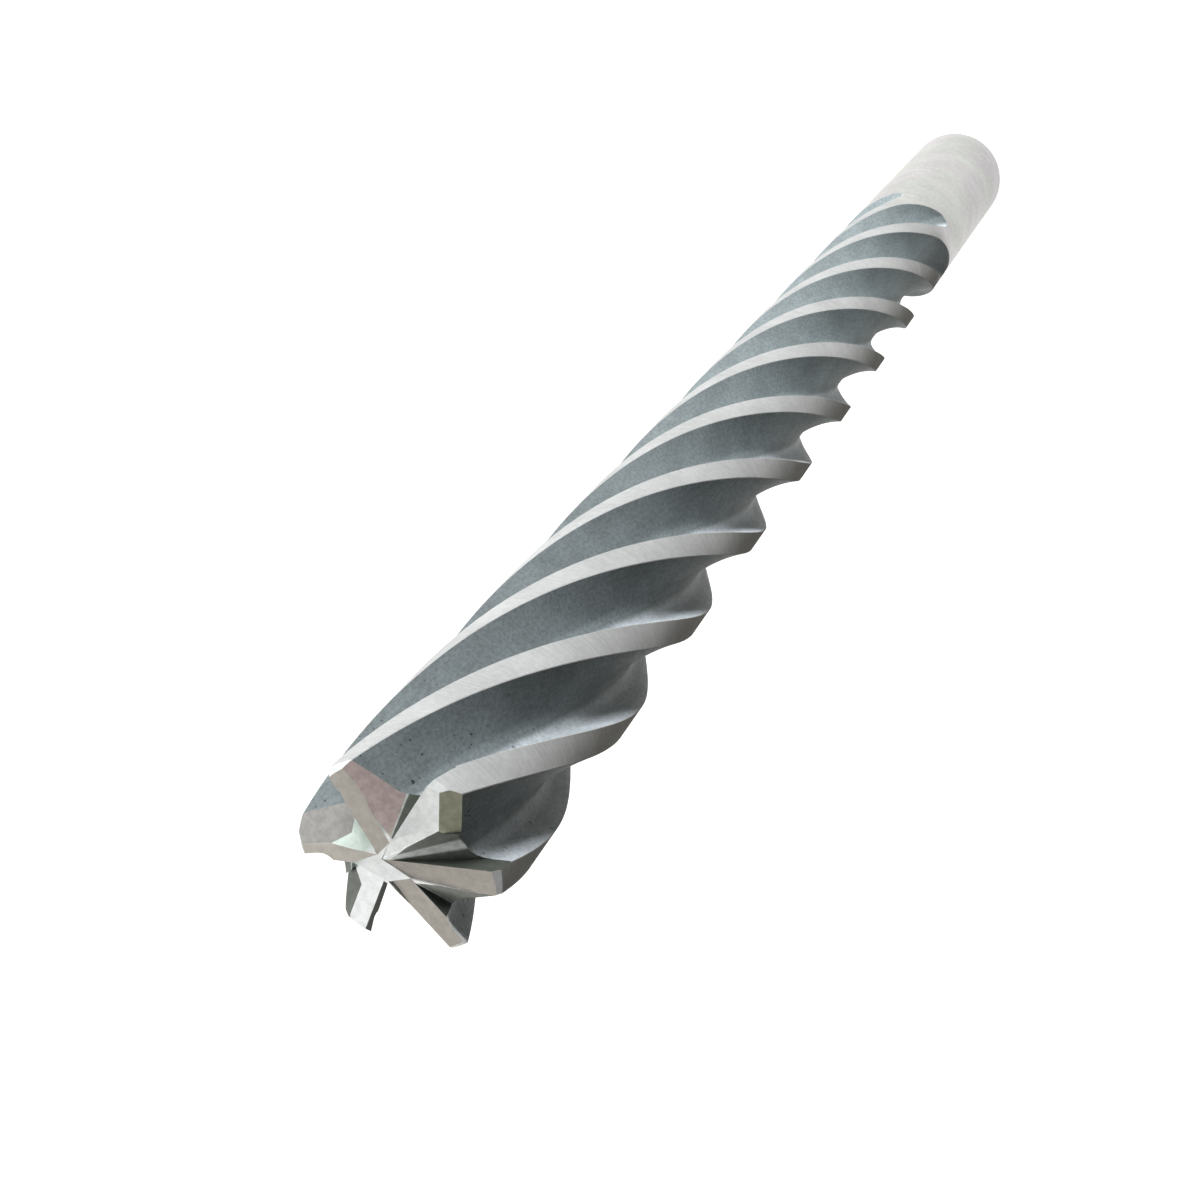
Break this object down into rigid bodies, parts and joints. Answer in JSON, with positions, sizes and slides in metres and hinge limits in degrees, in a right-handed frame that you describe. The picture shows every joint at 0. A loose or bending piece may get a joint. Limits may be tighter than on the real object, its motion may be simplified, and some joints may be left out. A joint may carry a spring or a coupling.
{
  "type": "router bit",
  "caption": "Long straight-shank spiral router bit with helical flutes, ground lands, square end teeth and V gashes.",
  "frame": {"origin": "centre of the flat end face of the shank, which the bit stands on", "axes": "+Z along the tool axis from the shank to the cutting end; +X through the heel of one land at the cutting end"},
  "size_m": [0.016, 0.016, 0.21],
  "materials": {
    "ground_steel": "satin shank, bright ground lands, matt grey flutes"
  },
  "bodies": {
    "root": {"router_bit": "ground_steel"}
  },
  "joints": []
}
